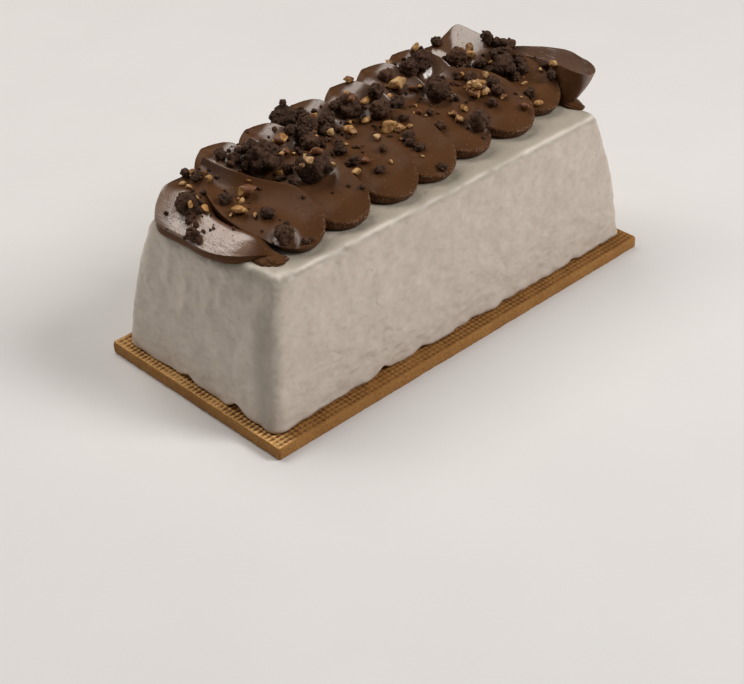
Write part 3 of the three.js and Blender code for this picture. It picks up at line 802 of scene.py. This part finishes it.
def petal_section(petal, t, squeeze, roll):
    """A cross-section from the rear foot over both rims to the front foot, as x and height."""
    half = along(petal["half"], t) * squeeze
    rear, low, front = (float(along(petal[key], t)) * roll for key in HEIGHTS)
    tip = front + (rear - front) * petal["tip"]
    rear, floor, front = (tip + (height - tip) * squeeze for height in (rear, low, front))
    across = np.linspace(1, -1, TOP_STEPS + 1)
    rim = np.where(across > 0, rear, front)
    power = np.where(across > 0, *petal.get("dish", DISH))
    top = np.column_stack([across * half, floor + (rim - floor) * np.abs(across) ** power])
    lip = min(petal.get("lip", LIP), LIP_MOST.height * min(rear, front), LIP_MOST.half * half)
    (rear_wall, rear_lip), (front_wall, front_lip) = (
        petal_side(petal, side, under, crest, top, lip, squeeze)
        for side, under, crest in zip((1, -1), petal["undercut"], (top[0], top[-1]))
    )
    middle = top[np.abs(top[:, 0]) < half - lip - LIP_GAP]
    pick = np.linspace(0, len(middle) - 1, TOP_STEPS - 1)
    middle = np.column_stack([np.interp(pick, np.arange(len(middle)), middle[:, axis]) for axis in (0, 1)])
    return np.concatenate([rear_wall[::-1], rear_lip[1:], middle, front_lip[::-1][:-1], front_wall])


def petal_stations(petal):
    """Where the sections stand: share t, how far past the end, squeeze, roll and inset of the foot."""
    stations = []
    turns = END_TURN * np.arange(1, END_STEPS + 1) / END_STEPS
    for turn in turns[::-1]:
        squeeze = math.cos(turn)
        past = along(petal["half"], 1.0) * math.sin(turn)
        stations.append((1.0, past, squeeze, TAIL_ROLL + (1 - TAIL_ROLL) * squeeze, 0.0))
    stations += [(t, 0.0, 1.0, 1.0, 0.0) for t in np.linspace(1, 0, BODY_STEPS + 1)]
    power = petal.get("nose_power", 1)
    for turn in turns:
        out, squeeze = math.sin(turn) ** power, math.cos(turn) ** power
        past = -along(petal["half"], 0.0) * petal["nose_long"] * out
        roll = 1 - (1 - petal["nose_roll"]) * out**NOSE_CURVE
        stations.append((0.0, past, squeeze, roll, petal["nose_inset"] * out))
    return stations


def sag(x):
    """How far the cream hangs down where it reaches past the loaf's near end."""
    past = np.maximum(SAG.start - x, 0)
    return SAG.slope * past**2 / (past + SAG.soft)


def make_petal(petal, number):
    rings = []
    for t, past_end, squeeze, roll, inset in petal_stations(petal):
        section = petal_section(petal, t, squeeze, roll)
        share = np.clip(1 - section[:, 1] / max(section[:, 1].max(), TINY), 0, 1) ** FOOT_CURVE
        x = petal["nose"][0] + along(petal["mid"], t) + section[:, 0]
        y = petal["nose"][1] - petal["side"] * (t * petal["reach"] + past_end + inset * share)
        rings.append(np.column_stack([x, y, CREAM_BASE + section[:, 1] - sag(x)]))
    count = len(rings[0])
    faces = loft_faces(len(rings), count)
    if petal["side"] > 0:
        faces = [face[::-1] for face in faces]
    return add_piece(f"petal_{number}", np.concatenate(rings), faces, None)


def petal_row(petal, nose, drifts, sways):
    """Petals side by side, each with the place of its nose."""
    row = []
    for i, (drift, sway) in enumerate(zip(drifts, sways)):
        row.append(dict(petal, nose=(nose[0] + i * PITCH + drift, nose[1] + sway)))
    return row


def right_petals():
    petals = petal_row(RIGHT_PETAL, RIGHT_NOSE, RIGHT_DRIFT, RIGHT_SWAY)
    petals[0].update(NEAREST_RIGHT_PETAL)
    return petals


def left_petals():
    petals = petal_row(LEFT_PETAL, LEFT_NOSE, LEFT_DRIFT, LEFT_SWAY)
    for petal, rise in zip(petals, LEFT_RISE):
        petal.update({key: [rise * height for height in petal[key]] for key in HEIGHTS})
    return petals


def dab_petal(x, y, reach, half, height):
    """A low dab of cream, level from rim to rim."""
    petal = dict(DAB, nose=(x, y), reach=reach, mid=[0] * len(DAB_HALF))
    petal["half"] = [share * half for share in DAB_HALF]
    petal.update({key: [share * height for share in DAB_HEIGHT] for key in HEIGHTS})
    return petal


def cream_petals():
    dabs = [dab_petal(*values) for values in DABS]
    return right_petals() + left_petals() + dabs + [FAR_LEFT_PETAL, FAR_RIGHT_PETAL, NEAR_PETAL]


def crumb_gap(points, crumb):
    """How far each point lies outside a large crumb's foot."""
    x, y, size = crumb
    return np.hypot(points[:, 0] - x, points[:, 1] - y) - CRUMB_FOOT * size


def pressed(points):
    """How deep the large crumbs press the cream in at each point."""
    return sum(PRESS.depth * bell(crumb_gap(points, crumb), PRESS.reach) for crumb in COCOA_CRUMBS)


def froth_and_sparkle_share(points):
    """How much pale froth, partly painted sparkle, shows along the rims of the noses on the right."""
    shares = []
    for petal in right_petals():
        x, y = petal["nose"]
        away = np.hypot(points[:, 0] - x - petal["mid"][0], points[:, 1] - y) - petal["half"][0]
        shares.append(bell(away + FROTH.inside, FROTH.reach) * within(points[:, 1], (y, FROTH.blend)))
    return np.max(shares, axis=0)


def wet_rings(points):
    """How much the cream glistens round the large crumbs on its right side, with a little painted sheen."""
    gaps = [crumb_gap(points, crumb) for crumb in COCOA_CRUMBS if crumb[1] < WET.left]
    return WET.share * np.max([bell(gap - WET.gap, WET.reach) for gap in gaps], axis=0)


def nose_line(x):
    """How far across the loaf the marks and painted sheen on the left reach, along the loaf."""
    (start, slope), (far_start, far_slope) = NOSE_LINE.slope, NOSE_LINE.far_slope
    shift = np.where(x < NOSE_LINE.far, slope * (x - start), far_slope * (x - far_start))
    return NOSE_LINE.across + shift


def marks_and_sheen_share(points, normals):
    """How much of the spatula's marks, the gloss and the painted sheen the cream shows at each point."""
    x, y = points[:, 0], points[:, 1]
    near = within(x, NEAR_MARKS_AND_SHEEN.edge) * beyond(y, NEAR_MARKS_AND_SHEEN.tail)
    near *= beyond(normals[:, 2], NEAR_MARKS_AND_SHEEN.up)
    fold = FOLD_MARKS_AND_SHEEN.share * beyond(x, FOLD_MARKS_AND_SHEEN.edge) * within(y, FOLD_MARKS_AND_SHEEN.left)
    left = beyond(y, LEFT_MARKS_AND_SHEEN.edge) * beyond(x, LEFT_MARKS_AND_SHEEN.start)
    left *= within(y, (nose_line(x), NOSE_LINE.blend))
    left *= LEFT_MARKS_AND_SHEEN.share + LEFT_MARKS_AND_SHEEN.more * beyond(x, LEFT_MARKS_AND_SHEEN.far)
    return np.max([near, left, fold, wet_rings(points)], axis=0)


def make_cream(material):
    mesh = join_solids([make_petal(petal, i) for i, petal in enumerate(cream_petals())])
    mesh.name = "piped_cream"
    points = np.array([v.co for v in mesh.vertices]) / MM
    normals = np.array([v.normal for v in mesh.vertices])
    height = points[:, 2] - CREAM_BASE
    low = np.clip(1 - height / RAGGED, 0, 1)
    push = swell(points, "cream_broad") + swell(points, "cream_fine") + low * swell(points, "cream_foot")
    push = (push - pressed(points)) * np.clip(height / STILL, 0, 1)
    mesh.vertices.foreach_set("co", ((points + normals * push[:, None]) * MM).ravel())
    mesh.materials.clear()
    mesh.materials.append(material)
    mesh.shade_smooth()
    mesh.set_sharp_from_angle(angle=SHARP)
    mesh.update()
    piece = bpy.data.objects.new("piped_cream", mesh)
    show(piece)
    set_values(piece, "marks_and_sheen", marks_and_sheen_share(points, normals))
    set_values(piece, "froth_and_sparkle", froth_and_sparkle_share(points))
    return piece


# Crumble

class Ground:
    """The upper side of some pieces, for standing the crumble on them."""

    def __init__(self, *pieces):
        points, faces = [], []
        for piece in pieces:
            start = len(points)
            points += [v.co / MM for v in piece.data.vertices]
            faces += [tuple(start + i for i in p.vertices) for p in piece.data.polygons]
        self.tree = BVHTree.FromPolygons(points, faces)

    def height(self, x, y):
        """How high the pieces reach at a place, or None beside them."""
        hit = self.tree.ray_cast(Vector((x, y, 2 * LOAF_TOP)), Vector((0, 0, -1)))[0]
        return None if hit is None else hit.z

    def seen_at(self, pixel, lift):
        """The middle of a bit that shows at a pixel of the photograph, lifted off what carries it."""
        for below in range(PIXELS_BELOW):
            eye, ray = photo_ray(pixel[0], pixel[1] + below)
            hit, normal = self.tree.ray_cast(eye, ray)[:2]
            if hit is not None:
                break
        if below:
            return hit + Vector((0, 0, lift))
        return hit - ray * (lift / max(-ray.dot(normal), LEAST_FACING))


def photo_ray(across, down):
    """The camera's place and the direction in which it sees a pixel of the photograph."""
    eye, right, up, back = camera_axes()
    x, y = across - PICTURE[0] / 2, PICTURE[1] / 2 - down
    return eye, (right * x / FOCAL_PIXELS + up * y / FOCAL_PIXELS - back).normalized()


@functools.cache
def ball(detail):
    """Points and faces of a ball with radius 1."""
    shape = bmesh.new()
    bmesh.ops.create_icosphere(shape, subdivisions=detail, radius=1.0)
    points = np.array([v.co for v in shape.verts])
    faces = [tuple(v.index for v in face.verts) for face in shape.faces]
    shape.free()
    return points, faces


def turned(points, draw):
    """Points turned at random, and tilted a little."""
    turn = Matrix.Rotation(draw.uniform(0, 2 * math.pi), 3, "Z")
    tilt = Matrix.Rotation(draw.uniform(-LUMP.tilt, LUMP.tilt), 3, "X")
    return points @ np.array(turn @ tilt).T


def merged(shapes):
    """Points and faces of many (points, faces) shapes together."""
    points, faces, start = [], [], 0
    for shape_points, shape_faces in shapes:
        points.append(shape_points)
        faces += [tuple(start + i for i in face) for face in shape_faces]
        start += len(shape_points)
    return np.concatenate(points), faces


def noise_place(draw):
    return np.array([draw.uniform(-NOISE_SPAN, NOISE_SPAN) for _ in range(3)])


def lump(size, detail, roughness, draw):
    """An uneven ball about size across."""
    points, faces = ball(detail)
    uneven = 1 + roughness * wander(points, LUMP.grain, 3, noise_place(draw))
    return turned(points * uneven[:, None] * size / 2 * LUMP.shape, draw), faces


def crumb_shape(size, draw):
    """A craggy crumb round the origin: a lumpy core stuck all over with grains."""
    if size < CRUMB.plain:
        return lump(size, 2, CRUMB.plain_rough, draw)
    large = size > CRUMB.large
    core, core_faces = lump(CRUMB.core * size, 4 if large else 3, CRUMB.core_rough, draw)
    shapes = [(core, core_faces)]
    grain = min(GRAIN.most, GRAIN.share * size)
    count = GRAIN.least + int((GRAIN.many if large else GRAIN.few) * size**2)
    for _ in range(count):
        points, faces = lump(draw.uniform(*GRAIN.vary) * grain, 2, GRAIN_ROUGH, draw)
        shapes.append((points + GRAIN_PLACE * core[draw.randrange(len(core))], faces))
    return merged(shapes)


def crumb_bit(size, draw):
    """A crumb, and how light each point is."""
    points, faces = crumb_shape(size, draw)
    return points, faces, {"tone": np.full(len(points), draw.random() ** 2)}


def make_bits(name, bits, shape, material, draw):
    """One piece from bits, each given by the place of its middle and its size."""
    shapes, values = [], []
    for place, size in bits:
        points, faces, shares = shape(size, draw)
        shapes.append((points + place, faces))
        values.append(shares)
    piece = add_piece(name, *merged(shapes), material)
    for key in values[0]:
        set_values(piece, key, np.concatenate([shares[key] for shares in values]))
    return piece


def scattered(kind, draw):
    """Random spots along the middle of the cream, each with a size."""
    spots = []
    for _ in range(kind.count):
        x = draw.uniform(*kind.along)
        y = kind.middle + draw.gauss(0, kind.spread)
        spots.append((x, y, draw.uniform(*kind.size)))
    return spots


def spots_round(crumb, draw):
    """Random spots round a large crumb, each with a size."""
    x, y, size = crumb
    spots = []
    for _ in range(ROUND_CRUMBS.count):
        reach = size * draw.uniform(*ROUND_CRUMBS.reach)
        turn = draw.uniform(0, 2 * math.pi)
        place = (x + reach * math.cos(turn), y + reach * math.sin(turn))
        spots.append((*place, draw.uniform(*ROUND_CRUMBS.size)))
    return spots


def stood(spots, ground, lift):
    """The middles and sizes of bits on those spots that have ground under them."""
    heights = [ground.height(x, y) for x, y, size in spots]
    placed = [(spot, height) for spot, height in zip(spots, heights) if height is not None]
    return [((x, y, height + lift * size), size) for (x, y, size), height in placed]


def make_large_crumbs(ground, material, draw):
    return make_bits("cocoa_crumbs", stood(COCOA_CRUMBS, ground, CRUMB_LIFT), crumb_bit, material, draw)


def make_small_crumbs(ground, material, draw):
    crumbs = [(ground.seen_at((x, y), CRUMB_LIFT * size), size) for x, y, size in SMALL_CRUMBS]
    spots = [spot for crumb in COCOA_CRUMBS for spot in spots_round(crumb, draw)]
    crumbs += stood(spots + scattered(FINE_CRUMBS, draw), ground, BIT_LIFT)
    return make_bits("fine_crumbs", crumbs, crumb_bit, material, draw)


def nut_bit(size, draw):
    """A chopped piece: a lumpy kernel with a few broken faces, how much skin shows, and how light it is."""
    points, faces = ball(3)
    shift = noise_place(draw)
    points = points * (1, draw.uniform(*NUT.wide), draw.uniform(*NUT.high))
    broken = np.zeros(len(points))
    for _ in range(BREAKS.count):
        side = np.array(Vector([draw.gauss(0, 1) for _ in range(3)]).normalized())
        over = np.maximum(points @ side - draw.uniform(*BREAKS.place), 0)
        points = points - BREAKS.cut * over[:, None] * side
        broken = np.maximum(broken, np.clip(over * BREAKS.edge, 0, 1))
    points = points * (1 + NUT.rough * wander(points, NUT.grain, 3, shift))[:, None]
    points *= size / np.ptp(points, axis=0).max()
    skin = (1 - broken) * (draw.random() < NUT.skin)
    points = turned(points, draw)
    return points, faces, {"skin": skin, "tone": np.full(len(points), draw.random())}


def make_nuts(ground, material, draw):
    nuts = [(ground.seen_at((x, y), BIT_LIFT * size), NUT_SEEN * size) for x, y, size in NUT_BITS]
    nuts += stood(scattered(FINE_NUTS, draw), ground, BIT_LIFT)
    return make_bits("chopped_nuts", nuts, nut_bit, material, draw)


def make_nut_cluster(ground, material, draw):
    """A clump of broken pieces in two layers round a gap."""
    x, y, size = NUT_CLUSTER
    base = ground.height(x, y)
    nuts = []
    for i in range(CLUSTER.count):
        turn = 2 * math.pi * i / CLUSTER.lower
        layer = i // CLUSTER.lower
        reach, up = CLUSTER.reach[layer] * size, CLUSTER.up[layer] * size
        place = (x + reach * math.cos(turn), y + reach * math.sin(turn), base + up)
        nuts.append((place, draw.uniform(*CLUSTER.size) * size))
    return make_bits("nut_cluster_pieces", nuts, nut_bit, material, draw)


# Stage

def make_floor():
    corners = [(x * FLOOR_HALF, y * FLOOR_HALF, 0) for x, y in ((-1, -1), (1, -1), (1, 1), (-1, 1))]
    floor = add_piece("floor", corners, [(0, 1, 2, 3)], floor_material())


def make_light(name, direction, distance, size, power, colour):
    lamp = bpy.data.lights.new(name, "AREA")
    lamp.shape = "RECTANGLE"
    lamp.size, lamp.size_y = size
    lamp.energy = power
    lamp.color = colour
    holder = bpy.data.objects.new(name, lamp)
    aim = Vector(direction).normalized()
    holder.location = aim * distance + LIGHT_AIM
    holder.rotation_euler = (-aim).to_track_quat("-Z", "Y").to_euler()
    show(holder)


def make_lights():
    for name, values in LIGHTS.items():
        make_light(name, *values)
    world = bpy.data.worlds.new("studio")
    world.use_nodes = True
    sky = world.node_tree.nodes["Background"]
    sky.inputs["Color"].default_value = (*SKY.colour, 1)
    sky.inputs["Strength"].default_value = SKY.strength
    bpy.context.scene.world = world


def camera_axes():
    """The camera's place in millimetres, and its right, up and back directions."""
    angles = (CAMERA.azimuth, CAMERA.elevation, CAMERA.roll)
    azimuth, elevation, roll = (math.radians(angle) for angle in angles)
    flat = math.cos(elevation)
    back = Vector((math.sin(azimuth) * flat, -math.cos(azimuth) * flat, math.sin(elevation)))
    right = Vector((math.cos(azimuth), math.sin(azimuth), 0))
    up = back.cross(right)
    eye = right * CAMERA.right + up * CAMERA.up + back * CAMERA.distance
    tilted_right = math.cos(roll) * right + math.sin(roll) * up
    tilted_up = -math.sin(roll) * right + math.cos(roll) * up
    return eye, tilted_right, tilted_up, back


def make_camera():
    eye, right, up, back = camera_axes()
    lens = bpy.data.cameras.new("camera")
    lens.sensor_fit = "HORIZONTAL"
    lens.sensor_width = SENSOR
    lens.lens = SENSOR * FOCAL_PIXELS / PICTURE[0]
    lens.clip_start = CLIP_START
    camera = bpy.data.objects.new("camera", lens)
    pose = Matrix((right, up, back)).transposed().to_4x4()
    pose.translation = eye * MM
    camera.matrix_world = pose
    show(camera)
    bpy.context.scene.camera = camera


def dress(piece, slot, *nodes):
    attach(piece, "root")
    if nodes:
        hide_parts(*nodes)


draw = random.Random(SEED)
noise.seed_set(SEED)
bpy.context.scene.view_settings.view_transform = "Standard"
dress(make_biscuit(biscuit_material()), "biscuit", "biscuit_base")
dress(make_loaf(glaze_material()), "pale_glaze", "semifreddo_loaf")
cream = make_cream(cream_material())
dress(cream, "chocolate_cream", "chocolate_cream")
crumb_look = crumb_material()
nut_look = nut_material()
crumb_nodes = [f"cocoa_crumb_{i + 1:02d}" for i in range(len(COCOA_CRUMBS))]
large_crumbs = make_large_crumbs(Ground(cream), crumb_look, draw)
dress(large_crumbs, "cocoa_crumb", *crumb_nodes)
ground = Ground(cream, large_crumbs)
dress(make_small_crumbs(ground, crumb_look, draw), "cocoa_crumb")
dress(make_nuts(ground, nut_look, draw), "chopped_nut")
dress(make_nut_cluster(Ground(cream), nut_look, draw), "chopped_nut", "nut_cluster")
make_floor()
make_lights()
make_camera()
